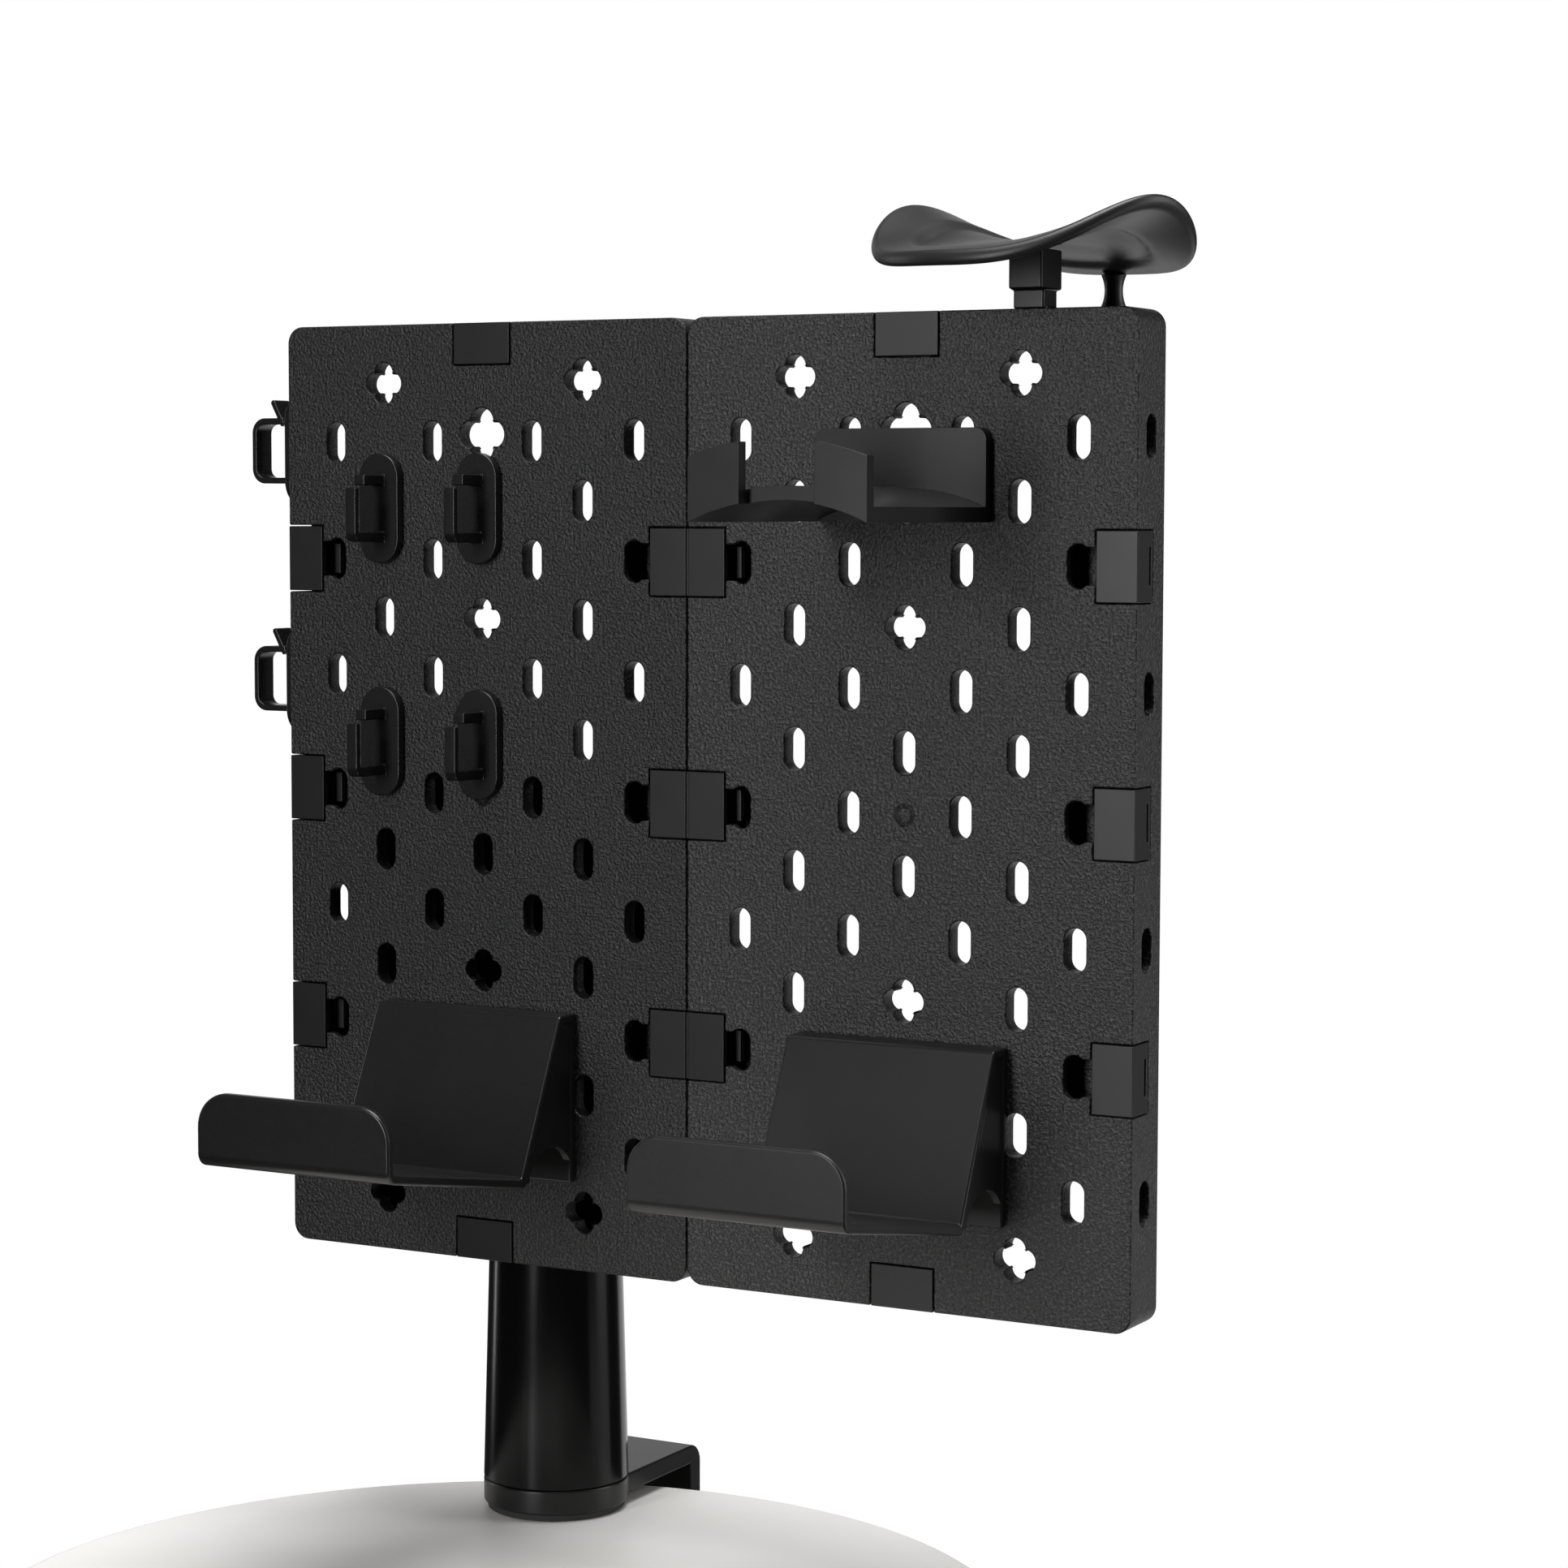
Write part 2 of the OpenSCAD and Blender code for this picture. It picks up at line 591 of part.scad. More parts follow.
module cradle() color([0.07, 0.07, 0.072]) on_board() translate([x2 + panel_w / 2, 0, 0]) {
  hw = cradle_w / 2;
  slab(-4, -0.15) difference() {
    round2(-hw, 218, hw, 247.8, 3.5);
    box2(-hw - 1, 210, hw + 1, 222.2);
  }
  difference() {
    union() {
      slab(-cradle_out, -0.5) cradle_arc2(0);
      slab(-cradle_out, -cradle_out + 4) cradle_arc2(12.3);
    }
    translate([-notch_w / 2, -cradle_out - 1, 215]) cube([notch_w, 6, 40]);
  }
  for (s = [-1, 1]) hook(s * hp, row_z(1));
}

// ---- headphone rest ------------------------------------------------------------

rest_x = x2 + col_x(5);
rest_y = 9;
saddle_z = 298.5;

module rest_post() color([0.06, 0.06, 0.062]) on_board() translate([rest_x, rest_y, 0]) {
  translate([0, 0, top_z - 9]) linear_extrude(9.5) long2(slot_h - 0.4, neck_w);
  translate([-4.6, -4.5, top_z + 0.15]) cube([9.2, 9, 5.4]);
  translate([-5, -6.8, top_z + 5.5]) cube([10, 13.6, 11]);
}

// Saddle: a shell with two opposite wings that rise to the rim, and a low rim between them.
// u runs from the middle to the rim, a round it from the crest of a wing. It leans slightly.
rings = 9;
spokes = 60;
saddle_lean = [1.3, 1.15, 0];
function mid_z(u, a) = u * u * (saddle_up * pow(cos(a), 4) - saddle_down);
function ring_u(i) = i < rings - 2 ? 0.9 * i / (rings - 3) : i == rings - 2 ? 0.975 : 1;
function half_t(i) = i < rings - 4 ? 1.5 : i == rings - 4 ? 1.9 : i == rings - 3 ? 2.3
  : i == rings - 2 ? 1.6 : 0.5;
function rim_p(i, a, s) = [saddle_a * ring_u(i) * cos(a), saddle_b * ring_u(i) * sin(a),
  mid_z(ring_u(i), a) + s * half_t(i)];

// Number of the point on ring j at spoke k.
function at(j, k) = 1 + j * spokes + k % spokes;

module rest_saddle() color([0.07, 0.07, 0.072]) on_board()
  translate([rest_x - 1, rest_y + 0.5, saddle_z]) rotate(saddle_lean) rotate([0, 0, saddle_turn]) {
  n = spokes;
  pts = concat([[0, 0, 1.5]],
    [for (i = [1:rings - 1], k = [0:n - 1]) rim_p(i, 360 * k / n, 1)],
    [for (i = [1:rings - 1], k = [0:n - 1]) rim_p(rings - i, 360 * k / n, -1)],
    [[0, 0, -1.5]]);
  m = 2 * (rings - 1);
  last = m * n + 1;
  faces = concat(
    [for (k = [0:n - 1]) [0, at(0, k + 1), at(0, k)]],
    [for (j = [0:m - 2], k = [0:n - 1]) [at(j, k), at(j, k + 1), at(j + 1, k)]],
    [for (j = [0:m - 2], k = [0:n - 1]) [at(j, k + 1), at(j + 1, k + 1), at(j + 1, k)]],
    [for (k = [0:n - 1]) [last, at(m - 1, k), at(m - 1, k + 1)]]);
  polyhedron(pts, faces, convexity = 6);
}

// Short waisted foot under the rim of the saddle.
module rest_peg() color([0.06, 0.06, 0.062]) on_board() translate([rest_x + 6, rest_y + 40, 282.6])
  rotate_extrude() difference() {
    box2(0, 0, 3.65, 9.1);
    translate([12.98, 4.55]) circle(r = 10.38);
  }

left_panel();
right_panel();
join_clip_top();
join_clip_middle();
join_clip_bottom();
cap_left_top();
cap_left_middle();
cap_left_bottom();
cap_right_top();
cap_right_middle();
cap_right_bottom();
cap_upper_left();
cap_upper_right();
cap_lower_left();
cap_lower_right();
mount_plate();
plate_screws();
swivel_bracket();
bracket_bolts();
swivel_bush();
core_tube();
core_plug();
stop_ring();
stop_screw();
post_sleeve();
sleeve_cap();
clamp_body();
desk_pad();
post_bolt();
lower_jaw();
jaw_bolts();
jaw_nut();
clamp_foot();
foot_pad();
clamp_screw();
clamp_knob();
cable_clip_1();
cable_clip_2();
cable_clip_3();
cable_clip_4();
edge_clip_1();
edge_clip_2();
tray_left();
tray_right();
cradle();
rest_post();
rest_saddle();
rest_peg();
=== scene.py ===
import json
import math

import bmesh
import bpy
from mathutils import Matrix, Vector


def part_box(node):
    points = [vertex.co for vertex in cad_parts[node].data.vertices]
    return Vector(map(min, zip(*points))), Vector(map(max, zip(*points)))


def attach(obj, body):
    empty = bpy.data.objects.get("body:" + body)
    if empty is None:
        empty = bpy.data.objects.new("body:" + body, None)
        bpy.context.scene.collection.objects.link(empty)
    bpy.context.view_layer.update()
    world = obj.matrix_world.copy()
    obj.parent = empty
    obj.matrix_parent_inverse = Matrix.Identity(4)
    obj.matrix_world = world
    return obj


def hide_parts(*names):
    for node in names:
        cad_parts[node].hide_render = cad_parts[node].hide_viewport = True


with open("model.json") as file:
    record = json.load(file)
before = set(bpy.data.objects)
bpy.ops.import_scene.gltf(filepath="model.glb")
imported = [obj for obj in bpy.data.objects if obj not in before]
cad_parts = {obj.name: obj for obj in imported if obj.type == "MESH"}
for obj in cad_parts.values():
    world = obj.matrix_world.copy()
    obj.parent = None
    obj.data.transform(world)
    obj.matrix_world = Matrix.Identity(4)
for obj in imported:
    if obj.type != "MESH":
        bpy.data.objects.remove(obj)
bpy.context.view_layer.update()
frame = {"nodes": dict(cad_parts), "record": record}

MM = 0.001
NODES = frame["nodes"]
BODY_OF = {n: b for b, names in frame["record"]["behaviour"]["bodies"].items() for n in names}
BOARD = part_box("left_panel")[0]  # lower front left corner of the board
SLOT_OF = {s["node"]: s["material_slot"] for s in frame["record"]["subparts"]}


# ---- camera ---------------------------------------------------------------

CAMERA_AT = (0.6028, -0.9602, 0.3098)    # metres in the frame
CAMERA_HEADING = math.radians(28.56)     # turned left from straight at the board
CAMERA_TILT = math.radians(-4.285)
CAMERA_ROLL = math.radians(0.14)
LENS_MM = 84.75
SENSOR_MM = 36


def make_camera():
    data = bpy.data.cameras.new("camera")
    data.sensor_width = SENSOR_MM
    data.lens = LENS_MM
    data.clip_end = 20
    camera = bpy.data.objects.new("camera", data)
    turn = Matrix.Rotation(CAMERA_HEADING, 4, "Z")
    turn @= Matrix.Rotation(math.pi / 2 + CAMERA_TILT, 4, "X")
    turn @= Matrix.Rotation(CAMERA_ROLL, 4, "Z")
    camera.matrix_world = Matrix.Translation(CAMERA_AT) @ turn
    bpy.context.scene.collection.objects.link(camera)
    bpy.context.scene.camera = camera


# ---- node materials -------------------------------------------------------

WAVE_SIZE = 1 / 35               # metres between the slow waves in a moulded surface
BLOTCH_SIZE = 1 / 22
SHEEN_SIZE = 1 / 60


def new_material(name):
    """A material with only a Principled shader, and a function that adds nodes to it."""
    material = bpy.data.materials.new(name)
    material.use_nodes = True
    tree = material.node_tree
    shader = tree.nodes["Principled BSDF"]

    def add(kind, inputs=(), **settings):
        node = tree.nodes.new(kind)
        for key, value in settings.items():
            setattr(node, key, value)
        for key, value in dict(inputs).items():
            if isinstance(value, bpy.types.NodeSocket):
                tree.links.new(value, node.inputs[key])
            else:
                node.inputs[key].default_value = value
        return node

    return material, shader, add, tree.links.new


def place(add):
    return add("ShaderNodeTexCoord").outputs["Object"]


def noise(add, scale, detail=3.0, rough=0.5, where=None):
    where = where or place(add)
    inputs = {"Vector": where, "Scale": scale, "Detail": detail, "Roughness": rough}
    return add("ShaderNodeTexNoise", inputs).outputs["Fac"]


def spread(add, value, low, high, from_low=0.3, from_high=0.7):
    """Maps a noise value to the range low to high."""
    inputs = {"Value": value, "From Min": from_low, "From Max": from_high, "To Min": low, "To Max": high}
    return add("ShaderNodeMapRange", inputs).outputs["Result"]


def two_tones(add, value, dark, light, low=0.35, high=0.68):
    ramp = add("ShaderNodeValToRGB", {"Fac": value})
    for stop, colour, at in zip(ramp.color_ramp.elements, (dark, light), (low, high)):
        stop.position = at
        stop.color = (*colour, 1)
    return ramp.outputs["Color"]


def moulded(name, tone, rough, grain=0.0, grain_size=0.7, waviness=0.3, specular=0.5, painted_glint=None):
    """Moulded plastic or paint: fine grain, slow waves in the surface, uneven sheen.

    With a painted glint, the tops of the grain get a painted highlight: their base colour rises to that
    colour."""
    material, shader, add, link = new_material(name)
    fine = noise(add, 1 / (grain_size * MM), 2, 0.6)
    if painted_glint:
        # painted highlight: the grain's tops are lighter in the base colour, standing in for glints
        link(two_tones(add, fine, tone, painted_glint, 0.5, 0.72), shader.inputs["Base Color"])
    else:
        blotch = noise(add, 1 / BLOTCH_SIZE, 4)
        patch = add("ShaderNodeMath", {0: fine, 1: blotch}, operation="ADD").outputs["Value"]
        speckle = spread(add, patch, 0.3, 0.7, 0.7, 1.3)
        dark = tuple(c * 0.6 for c in tone)
        light = tuple(c * 1.4 for c in tone)
        link(two_tones(add, speckle, dark, light, 0, 1), shader.inputs["Base Color"])
    sheen = noise(add, 1 / SHEEN_SIZE, 5, 0.6)
    uneven = add("ShaderNodeMath", {0: fine, 1: sheen}, operation="ADD").outputs["Value"]
    link(spread(add, uneven, rough * 0.94, rough * 1.06, 0.7, 1.3), shader.inputs["Roughness"])
    slow = noise(add, 1 / WAVE_SIZE, 2)
    waves = add("ShaderNodeBump", {"Height": slow, "Strength": waviness, "Distance": 0.4 * MM})
    bump = add("ShaderNodeBump", {"Height": fine, "Strength": 1.0, "Distance": grain * MM,
                                  "Normal": waves.outputs["Normal"]})
    link(bump.outputs["Normal"], shader.inputs["Normal"])
    shader.inputs["Specular IOR Level"].default_value = specular
    return material


def metal(name, tone, rough, streak=(900, 900, 60)):
    """Plated or tumbled metal with fine streaks."""
    material, shader, add, link = new_material(name)
    squeeze = add("ShaderNodeMapping", {"Vector": place(add), "Scale": streak})
    fine = noise(add, 1.0, 4, 0.6, squeeze.outputs["Vector"])
    dark = tuple(c * 0.8 for c in tone)
    link(two_tones(add, noise(add, 90, 4), dark, tone), shader.inputs["Base Color"])
    link(spread(add, fine, rough - 0.08, rough + 0.1), shader.inputs["Roughness"])
    bump = add("ShaderNodeBump", {"Height": fine, "Strength": 0.4, "Distance": 0.03 * MM})
    link(bump.outputs["Normal"], shader.inputs["Normal"])
    shader.inputs["Metallic"].default_value = 1.0
    return material


def grey(value, warm=0.0):
    return (value * (1 + warm), value, value * (1 - warm))


def make_materials():
    return {
        "panel": moulded("grained_abs", grey(0.003), 0.45, grain=0.5, grain_size=0.9, painted_glint=grey(0.036)),
        # the right panel's copy of the grained plastic: lighter tone and glint as painted light
        "panel_painted_light": moulded("grained_abs_painted_light", grey(0.013), 0.43, grain=0.5, grain_size=0.9,
                               painted_glint=grey(0.085)),
        "cap": moulded("smooth_abs", grey(0.015), 0.42, grain=0.006, grain_size=0.5),
        # the left caps' and join clips' copy of the smooth plastic: darker tone as painted shade
        "cap_painted_shade": moulded("smooth_abs_painted_shade", grey(0.006), 0.38, grain=0.006, grain_size=0.5),
        "plate": moulded("powder_coat", grey(0.02), 0.5, grain=0.03, grain_size=0.6),
        "bracket": moulded("satin_coat", grey(0.02), 0.42, grain=0.02, grain_size=0.6),
        "fastener": metal("zinc_plate", grey(0.45, 0.02), 0.32),
        "bush": moulded("acetal", grey(0.6, 0.03), 0.4, grain=0.005),
        "tube": moulded("tube_coat", grey(0.03), 0.35, grain=0.004),
        "sleeve": moulded("gloss_coat", grey(0.002), 0.18, grain=0.001, waviness=0.1, specular=0.22),
        "trim": moulded("black_trim", grey(0.006), 0.35, grain=0.006, specular=0.3),
        "clamp": moulded("clamp_coat", grey(0.006), 0.32, grain=0.01, grain_size=0.8, specular=0.35),
        "pad": moulded("rubber", grey(0.02), 0.75, grain=0.03),
        "foot": metal("dark_zinc", grey(0.18), 0.42),
        "screw": metal("bright_zinc", grey(0.5, 0.015), 0.28, (60, 60, 60)),
        "knob": moulded("knob_plastic", grey(0.016), 0.45, grain=0.02),
        "clip": moulded("clip_plastic", grey(0.008), 0.28, grain=0.002, waviness=0.1),
        "tray": moulded("tray_plastic", grey(0.011), 0.3, grain=0.002, waviness=0.1),
        "tray_right": moulded("tray_satin", grey(0.012), 0.4, grain=0.006),
        "cradle": moulded("cradle_plastic", grey(0.005), 0.32, grain=0.003, waviness=0.1),
        "rest": moulded("rest_plastic", grey(0.016), 0.42, grain=0.01),
        "rest_block": moulded("block_plastic", grey(0.007), 0.34, grain=0.006),
    }


# ---- pieces ---------------------------------------------------------------

# nodes whose look differs from that of their material slot; the right panel takes a lighter copy of the
# panel plastic as painted light, and the left caps and join clips a darker copy of the cap plastic as
# painted shade
OWN_LOOK = {"right_panel": "panel_painted_light", "tray_right": "tray_right", "rest_post": "rest_block",
            # painted shade: the left caps and join clips take the darker copy of the cap plastic
            "cap_left_top": "cap_painted_shade", "cap_left_middle": "cap_painted_shade", "cap_left_bottom": "cap_painted_shade",
            "cap_upper_left": "cap_painted_shade", "cap_lower_left": "cap_painted_shade", "join_clip_top": "cap_painted_shade",
            "join_clip_middle": "cap_painted_shade", "join_clip_bottom": "cap_painted_shade"}
SPIKE = 2e-5                     # a rounded copy may pass the CAD piece's box by no more than this
# rounding of the edges in each material slot, in mm
EDGE_WIDTH = {"panel": 0.5, "cap": 0.25, "clip": 0.4, "cradle": 0.5, "rest": 0.6, "sleeve": 0.4,
              "clamp": 0.7, "plate": 0.5, "bracket": 0.8, "trim": 0.3, "knob": 0.8,
              "fastener": 0.3, "pad": 0.3, "foot": 0.4, "bush": 0.3, "tube": 0.3}


def finish_surface(piece, angle=40):
    for face in piece.data.polygons:
        face.use_smooth = True
    piece.data.set_sharp_from_angle(angle=math.radians(angle))
    weighted = piece.modifiers.new("flat_faces", "WEIGHTED_NORMAL")
    weighted.keep_sharp = True
    weighted.mode = "FACE_AREA"
    weighted.weight = 60


def add_piece(name, mesh):
    """Turns a finished bmesh into an object."""
    data = bpy.data.meshes.new(name)
    mesh.to_mesh(data)
    mesh.free()
    piece = bpy.data.objects.new(name, data)
    bpy.context.scene.collection.objects.link(piece)
    finish_surface(piece)
    return piece


def mesh_box(mesh):
    places = [v.co for v in mesh.verts]
    return [(min(p[i] for p in places), max(p[i] for p in places)) for i in range(3)]


def soften(mesh, width, segments=3, angle=28):
    """Rounds off the edges that are sharper than angle."""
    edges = [e for e in mesh.edges if e.is_manifold and e.calc_face_angle(0) > math.radians(angle)]
    bmesh.ops.bevel(mesh, geom=edges, offset=width, offset_type="OFFSET", segments=segments,
                    profile=0.5, affect="EDGES", clamp_overlap=False)


def cad_copy(node, join_flats=True):
    mesh = bmesh.new()
    mesh.from_mesh(NODES[node].data)
    bmesh.ops.remove_doubles(mesh, verts=mesh.verts, dist=2e-6)
    if join_flats:
        bmesh.ops.dissolve_limit(mesh, angle_limit=math.radians(0.5), verts=mesh.verts, edges=mesh.edges)
    mesh.normal_update()
    return mesh


def rounded(node, width, join_flats=True):
    """A copy of a CAD piece with rounded edges, as round as its smallest faces allow."""
    whole = mesh_box(cad_copy(node))
    while True:
        mesh = cad_copy(node, join_flats)
        soften(mesh, width)
        grown = mesh_box(mesh)
        if all(g[0] > w[0] - SPIKE and g[1] < w[1] + SPIKE for g, w in zip(grown, whole)):
            return add_piece(node + "_finished", mesh)
        mesh.free()
        width *= 0.6


def stand_for(piece, node, materials):
    piece.data.materials.clear()
    piece.data.materials.append(materials.get(OWN_LOOK.get(node, SLOT_OF[node])))
    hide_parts(node)
    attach(piece, BODY_OF[node])


# ---- outlines -------------------------------------------------------------

def arc(centre, radius, start, end, steps=8):
    """Points of an arc in the side view, from angle start to angle end in degrees."""
    angles = [math.radians(start + (end - start) * k / steps) for k in range(steps + 1)]
    return [(centre[0] + radius * math.cos(a), centre[1] + radius * math.sin(a)) for a in angles]


def crossing(p, d, q, e):
    """Where the line through p along d meets the line through q along e."""
    t = ((q[0] - p[0]) * e[1] - (q[1] - p[1]) * e[0]) / (d[0] * e[1] - d[1] * e[0])
    return (p[0] + d[0] * t, p[1] + d[1] * t)


def board_point(x, y, z):
    """Board measure in mm, from the left panel's lower front left corner, to the frame in metres."""
    return (BOARD[0] + x * MM, BOARD[1] + y * MM, BOARD[2] + z * MM)


def prism(outline, low, high, along, width):
    """A closed slab of a flat outline, with its edges rounded."""
    mesh = bmesh.new()
    rows = [[mesh.verts.new(board_point(*along(u, v, w))) for u, v in outline] for w in (low, high)]
    mesh.faces.new(rows[0])
    mesh.faces.new(rows[1])
    for k in range(len(outline)):
        n = (k + 1) % len(outline)
        mesh.faces.new((rows[0][k], rows[0][n], rows[1][n], rows[1][k]))
    bmesh.ops.recalc_face_normals(mesh, faces=mesh.faces)
    soften(mesh, width * MM)
    return mesh


def merge(parts):
    """Puts several closed shells in one mesh."""
    whole = bmesh.new()
    for part in parts:
        data = bpy.data.meshes.new("part")
        part.to_mesh(data)
        part.free()
        whole.from_mesh(data)
        bpy.data.meshes.remove(data)
    return whole


def stadium(x, z, w, h):
    r = w / 2
    return arc((x, z + h / 2 - r), r, 0, 180, 12) + arc((x, z - h / 2 + r), r, 180, 360, 12)


# millimetres on the board
SLOT_PITCH = 35.0
SLOT_H = 12.3
SLOT_D = 6.0
HOOK_REST = 0.3                  # a hook rests this far above the slot's end
HOOK_NECK = 8.0
HOOK_W = 5.9
HOOK_DROP = 3.6                  # the head reaches this far below the neck
HOOK_T = 2.5


def hook(x, slot_z):
    """The neck and head of a hook in the slot centred at x, slot_z."""
    def front_view(u, v, w):
        return (u, w, v)

    z = slot_z - SLOT_H / 2 + HOOK_REST + HOOK_NECK / 2
    neck = prism(stadium(x, z, HOOK_W, HOOK_NECK), -0.5, SLOT_D + 0.6, front_view, 0.3)
    long = stadium(x, z - HOOK_DROP / 2, HOOK_W, HOOK_NECK + HOOK_DROP)
    head = prism(long, SLOT_D + 0.4, SLOT_D + 0.4 + HOOK_T, front_view, 0.4)
    return [neck, head]


# ---- device tray ----------------------------------------------------------

# side view in mm on the board: y in front of it is negative, z from its lower edge
SHEET = 2.8                      # thickness of a tray's sheet
SLOPE_TOP = (-7.66, 75.37)       # middle of the sheet, seen from the side
SLOPE_FOOT = (-28.3, 30.4)
FLOOR_END = (-93.9, 42.1)
LIP_FACE = -97.0
LIP_TOP = 62.0
LIP_CORNER = 10.0
BEND_R = 4.0
BEND = (LIP_FACE + BEND_R, 44.6) # centre of the bend between floor and lip
FOLD_R = 1.8
LEG_FACE = -0.15                 # the rear leg stands this far off the board
LEG_FOOT = 26.6
LEDGE_TOP = 77.0
TRAY_SLOT_Z = 70.0
TRAY_EDGE = 0.8                  # rounding along the edges of the sheet
WEB_T = 2.3
WEB_INSET = 0.35                 # from the side of the sheet
ARCH_R = 12.6                    # arch in the foot of each web


def unit(p, q):
    length = math.hypot(q[0] - p[0], q[1] - p[1])
    return ((q[0] - p[0]) / length, (q[1] - p[1]) / length)


def beside(p, d, t):
    """The point t to the left of p, looking along d."""
    return (p[0] - d[1] * t, p[1] + d[0] * t)


def tray_section():
    """Outline of the folded sheet up to the straight part of its lip."""
    half = SHEET / 2
    slope = unit(SLOPE_FOOT, SLOPE_TOP)
    floor = unit(SLOPE_FOOT, FLOOR_END)
    slope_at = math.degrees(math.atan2(slope[1], slope[0]))
    floor_at = math.degrees(math.atan2(floor[1], floor[0]))
    front = beside(SLOPE_FOOT, slope, half)
    rear = beside(SLOPE_FOOT, slope, -half)
    upper = beside(SLOPE_FOOT, floor, -half)
    inner = crossing(front, slope, upper, floor)
    ledge = SLOPE_TOP[1] + 1.63 - SHEET
    points = arc(BEND, BEND_R - SHEET, 180, floor_at + 90, 10)
    points += [inner, (inner[0] + slope[0] * 0.6, inner[1] + slope[1] * 0.6)]
    points += arc((SLOPE_TOP[0] + 0.36, LEDGE_TOP - FOLD_R), FOLD_R, slope_at + 90, 90, 10)
    points += arc((LEG_FACE - 0.8, LEDGE_TOP - 0.8), 0.8, 90, 0, 5)
    points += [(LEG_FACE, LEG_FOOT), (LEG_FACE - SHEET, LEG_FOOT), (LEG_FACE - SHEET, ledge)]
    points += [crossing(rear, slope, (0, ledge), (1, 0))]
    points += arc(SLOPE_FOOT, half, slope_at - 90, floor_at - 270, 10)
    points += arc(BEND, BEND_R, floor_at + 90, 180, 12)
    return points


def tray_sheet(centre, half_w):
    """The folded sheet: one section across the width, and a lip whose corners are round."""
    mesh = bmesh.new()
    section = tray_section()
    shoulder = LIP_TOP - LIP_CORNER
    turns = [math.radians(90 * k / 12) for k in range(13)]
    rise = [(shoulder + LIP_CORNER * math.sin(t), half_w - LIP_CORNER * (1 - math.cos(t))) for t in turns]
    sides = []
    for s in (-1, 1):
        cap = [mesh.verts.new(board_point(centre + s * half_w, y, z)) for y, z in section]
        lip = [[mesh.verts.new(board_point(centre + s * w, y, z)) for z, w in rise]
               for y in (LIP_FACE + SHEET, LIP_FACE)]
        mesh.faces.new(cap + [lip[1][0], lip[0][0]])
        for k in range(len(rise) - 1):
            mesh.faces.new((lip[0][k], lip[0][k + 1], lip[1][k + 1], lip[1][k]))
        sides.append(list(reversed(lip[0])) + cap + lip[1])
    for k in range(len(sides[0])):
        n = (k + 1) % len(sides[0])
        mesh.faces.new((sides[0][k], sides[0][n], sides[1][n], sides[1][k]))
    bmesh.ops.recalc_face_normals(mesh, faces=mesh.faces)
    soften(mesh, TRAY_EDGE * MM)
    return mesh


def tray_web(centre, x):
    """The plate that closes one side of the tray, arched below."""
    def side_view(u, v, w):
        return (w, u, v)

    outline = [(-1.5, LEG_FOOT + 0.3), (-1.5, LEDGE_TOP - 2), SLOPE_TOP, SLOPE_FOOT]
    outline += arc((-13.3, LEG_FOOT - 0.2), ARCH_R, 163.4, 9, 20)
    return prism(outline, centre + x - WEB_T / 2, centre + x + WEB_T / 2, side_view, 0.2)


def tray(node):
    low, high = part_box(node)
    centre = ((low[0] + high[0]) / 2 - BOARD[0]) / MM
    half_w = (high[0] - low[0]) / 2 / MM
    parts = [tray_sheet(centre, half_w)]
    parts += [tray_web(centre, s * (half_w - WEB_INSET - WEB_T / 2)) for s in (-1, 1)]
    for s in (-1, 1):
        parts += hook(centre + s * SLOT_PITCH / 2, TRAY_SLOT_Z)
    return add_piece(node + "_finished", merge(parts))


# ---- headphone saddle -----------------------------------------------------

SADDLE_AT = (244.4, 9.5, 298.5)  # mm on the board
SADDLE_HALF = (46.4, 42.4)       # towards the wings and across them
SADDLE_FALL = 6.0                # drop of the low rim below the middle
SADDLE_RISE = 16.2               # height of a wing's crest above the low rim
SADDLE_TURN = math.radians(-19)
SADDLE_LEAN = (math.radians(1.3), math.radians(1.15))
RIM_HALF = 2.1                   # half the thickness of the rim
DISH_HALF = 0.6                  # half the thickness in the dished middle
DISH_EDGE = 0.84                 # share of the way to the rim where the dish ends, across the wings
DISH_EDGE_WING = 0.68            # and towards them
DISH_STEP = 0.09
SPOKES = 144
DISH_RINGS = 30
ROUND_RINGS = 6


def smooth_step(value, low, high):
    t = min(1, max(0, (value - low) / (high - low)))
    return t * t * (3 - 2 * t)


def saddle_ring(u, half, side):
    """One ring of points at the share u of the way to the rim, on the upper or lower skin."""
    lean = Matrix.Rotation(SADDLE_LEAN[1], 3, "Y") @ Matrix.Rotation(SADDLE_LEAN[0], 3, "X")
    turn = lean @ Matrix.Rotation(SADDLE_TURN, 3, "Z")
    ring = []
    for k in range(SPOKES):
        a = 2 * math.pi * k / SPOKES
        z = u * u * (SADDLE_RISE * math.cos(a) ** 4 - SADDLE_FALL)
        edge = DISH_EDGE - (DISH_EDGE - DISH_EDGE_WING) * math.cos(a) ** 2
        t = min(half, DISH_HALF + (RIM_HALF - DISH_HALF) * smooth_step(u, edge - DISH_STEP, edge))
        flat = Vector((SADDLE_HALF[0] * u * math.cos(a), SADDLE_HALF[1] * u * math.sin(a), z + side * t))
        ring.append(board_point(*(Vector(SADDLE_AT) + turn @ flat)))
    return ring


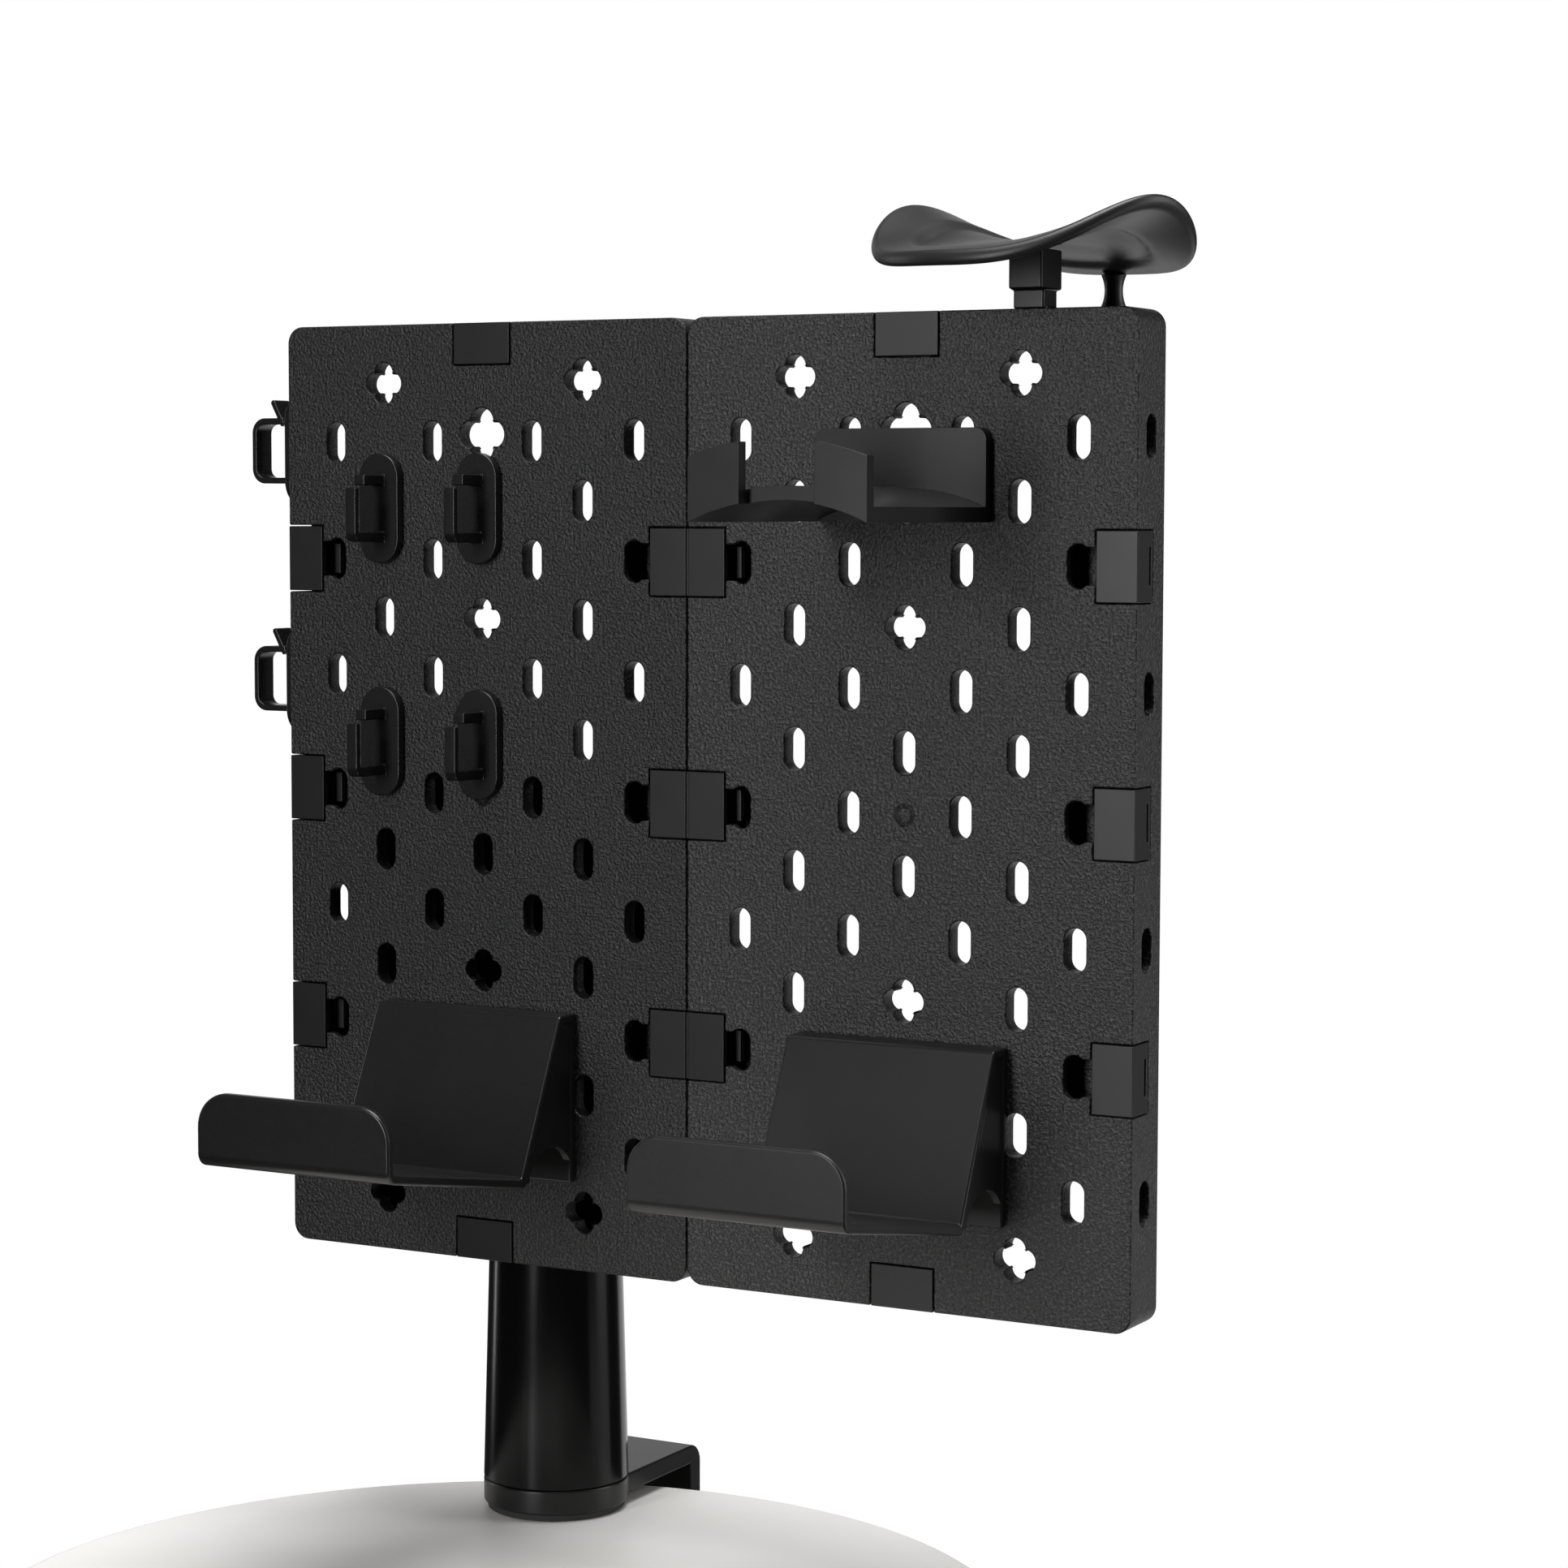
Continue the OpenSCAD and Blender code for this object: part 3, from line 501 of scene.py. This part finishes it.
def saddle(node):
    """The winged shell with a round rim and a dished middle above and below."""
    round_u = 1 - RIM_HALF / SADDLE_HALF[0]
    steps = [(round_u * (k + 1) / DISH_RINGS, RIM_HALF) for k in range(DISH_RINGS)]
    turns = [math.radians(90 * (k + 1) / (ROUND_RINGS + 1)) for k in range(ROUND_RINGS)]
    steps += [(round_u + (1 - round_u) * math.sin(t), RIM_HALF * math.cos(t)) for t in turns]
    mesh = bmesh.new()
    rings = [[mesh.verts.new(p) for p in saddle_ring(u, half, 1)] for u, half in steps]
    rings += [[mesh.verts.new(p) for p in saddle_ring(1, 0, 1)]]
    rings += [[mesh.verts.new(p) for p in saddle_ring(u, half, -1)] for u, half in reversed(steps)]
    for inner, outer in zip(rings, rings[1:]):
        for k in range(SPOKES):
            n = (k + 1) % SPOKES
            mesh.faces.new((inner[k], inner[n], outer[n], outer[k]))
    for ring, side in ((rings[0], 1), (rings[-1], -1)):
        x, y, z = SADDLE_AT
        middle = mesh.verts.new(board_point(x, y, z + side * DISH_HALF))
        for k in range(SPOKES):
            mesh.faces.new((middle, ring[k], ring[(k + 1) % SPOKES]))
    bmesh.ops.recalc_face_normals(mesh, faces=mesh.faces)
    return add_piece(node + "_finished", mesh)


# ---- clamp screw ----------------------------------------------------------

THREAD_LEAD = 3.0
THREAD_DEPTH = 0.85
SCREW_TIP = 3.9                  # length of the plain end above the thread
TIP_SHARE = 0.78                 # radius of the plain end, as a share of the thread's
TIP_CHAMFER = 0.3
SCREW_SPOKES = 48
TURN_RINGS = 10                  # rings of points in one turn of the thread


def threaded_screw(node):
    """The clamp screw with its real thread, which the CAD leaves out."""
    low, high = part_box(node)
    radius = (high[0] - low[0]) / 2
    axis = ((low[0] + high[0]) / 2, (low[1] + high[1]) / 2)
    tip = SCREW_TIP * MM
    count = int((high[2] - low[2] - tip) / (THREAD_LEAD * MM) * TURN_RINGS)
    mesh = bmesh.new()

    def ring(z, radius_at):
        points = []
        for k in range(SCREW_SPOKES):
            r = radius_at(k / SCREW_SPOKES)
            a = 2 * math.pi * k / SCREW_SPOKES
            points.append(mesh.verts.new((axis[0] + r * math.cos(a), axis[1] + r * math.sin(a), z)))
        return points

    rings = []
    for j in range(count + 1):
        ends = min(1, j / TURN_RINGS, (count - j) / TURN_RINGS)

        def thread(t):
            phase = (j / TURN_RINGS - t) % 1
            flank = min(1, 2.2 * abs(phase - 0.5) * 2)
            return radius - THREAD_DEPTH * MM * (1 - flank * ends)

        rings.append(ring(low[2] + (high[2] - low[2] - tip) * j / count, thread))
    core = radius * TIP_SHARE
    for r, z in ((core, high[2] - tip), (core, high[2] - TIP_CHAMFER * MM), (radius * 0.72, high[2])):
        rings.append(ring(z, lambda t: r))
    for lower, upper in zip(rings, rings[1:]):
        for k in range(SCREW_SPOKES):
            n = (k + 1) % SCREW_SPOKES
            mesh.faces.new((lower[k], lower[n], upper[n], upper[k]))
    mesh.faces.new(rings[0])
    mesh.faces.new(rings[-1])
    bmesh.ops.recalc_face_normals(mesh, faces=mesh.faces)
    return add_piece(node + "_finished", mesh)


def finished(node):
    """The finished piece for a CAD node: built afresh, or the CAD shape with rounded edges."""
    if SLOT_OF[node] == "tray":
        return tray(node)
    if node == "rest_saddle":
        return saddle(node)
    if node == "clamp_screw":
        return threaded_screw(node)
    return rounded(node, EDGE_WIDTH[SLOT_OF[node]] * MM, join_flats=SLOT_OF[node] != "panel")


def dress(materials):
    for node in NODES:
        stand_for(finished(node), node, materials)


# ---- stage ----------------------------------------------------------------

TABLE_CENTRE = (0.0459, -0.1098)
TABLE_R = 0.149
TABLE_T = 0.025
TABLE_EDGE = 0.004
TABLE_GAP = 0.0003               # keeps the faces of table and pad apart


def make_table():
    """The pale round top that the clamp stands on, thin enough for its jaw."""
    mesh = bmesh.new()
    bmesh.ops.create_cone(mesh, cap_ends=True, segments=256, radius1=TABLE_R, radius2=TABLE_R,
                          depth=TABLE_T)
    rim = [e for e in mesh.edges if len({v.co.z > 0 for v in e.verts}) == 1]
    bmesh.ops.bevel(mesh, geom=rim, offset=TABLE_EDGE, segments=4, profile=0.5, affect="EDGES")
    data = bpy.data.meshes.new("table")
    mesh.to_mesh(data)
    mesh.free()
    table = bpy.data.objects.new("table", data)
    table.location = (*TABLE_CENTRE, -TABLE_T / 2 - TABLE_GAP)
    bpy.context.scene.collection.objects.link(table)
    finish_surface(table)
    material, shader, add, link = new_material("pale_top")
    mottle = two_tones(add, noise(add, 9, 3), (0.86, 0.84, 0.81), (0.94, 0.92, 0.9))
    link(mottle, shader.inputs["Base Color"])
    shader.inputs["Roughness"].default_value = 0.45
    data.materials.append(material)


def softbox(name, azimuth, elevation, distance, width, height, power, aim=(0.05, 0, 0.2)):
    """An area light seen from the object at that azimuth, 0 straight in front and 90 to the right."""
    a = math.radians(azimuth)
    e = math.radians(elevation)
    data = bpy.data.lights.new(name, "AREA")
    data.shape = "RECTANGLE"
    data.size = width
    data.size_y = height
    data.energy = power
    light = bpy.data.objects.new(name, data)
    away = Vector((math.sin(a) * math.cos(e), -math.cos(a) * math.cos(e), math.sin(e)))
    light.location = Vector(aim) + away * distance
    light.rotation_euler = (-away).to_track_quat("-Z", "Y").to_euler()
    light.visible_camera = False
    bpy.context.scene.collection.objects.link(light)


def make_light():
    world = bpy.data.worlds.new("studio")
    bpy.context.scene.world = world
    world.use_nodes = True
    nodes = world.node_tree.nodes
    link = world.node_tree.links.new
    seen = nodes.new("ShaderNodeBackground")
    seen.inputs["Color"].default_value = (1, 1, 1, 1)
    seen.inputs["Strength"].default_value = 1.0
    fill = nodes["Background"]
    fill.inputs["Color"].default_value = (1, 1, 1, 1)
    fill.inputs["Strength"].default_value = 0.03
    path = nodes.new("ShaderNodeLightPath")
    mix = nodes.new("ShaderNodeMixShader")
    link(path.outputs["Is Camera Ray"], mix.inputs["Fac"])
    link(fill.outputs["Background"], mix.inputs[1])
    link(seen.outputs["Background"], mix.inputs[2])
    link(mix.outputs["Shader"], nodes["World Output"].inputs["Surface"])
    softbox("key", -8, 10, 2.2, 0.4, 1.5, 25)
    softbox("left_wall", -92, 8, 1.8, 0.25, 1.6, 4)
    softbox("right_back", 116, 12, 1.8, 0.7, 1.6, 12)
    softbox("right_low", 108, -30, 1.8, 1.2, 1.0, 3)
    softbox("back_low", -171, -26, 1.8, 1.6, 0.9, 4.5)
    softbox("back_left", -150, 18, 2.0, 1.6, 1.0, 4)
    softbox("top", 60, 82, 1.8, 1.2, 1.2, 45)


bpy.context.scene.view_settings.view_transform = "Standard"
make_camera()
dress(make_materials())
make_table()
make_light()
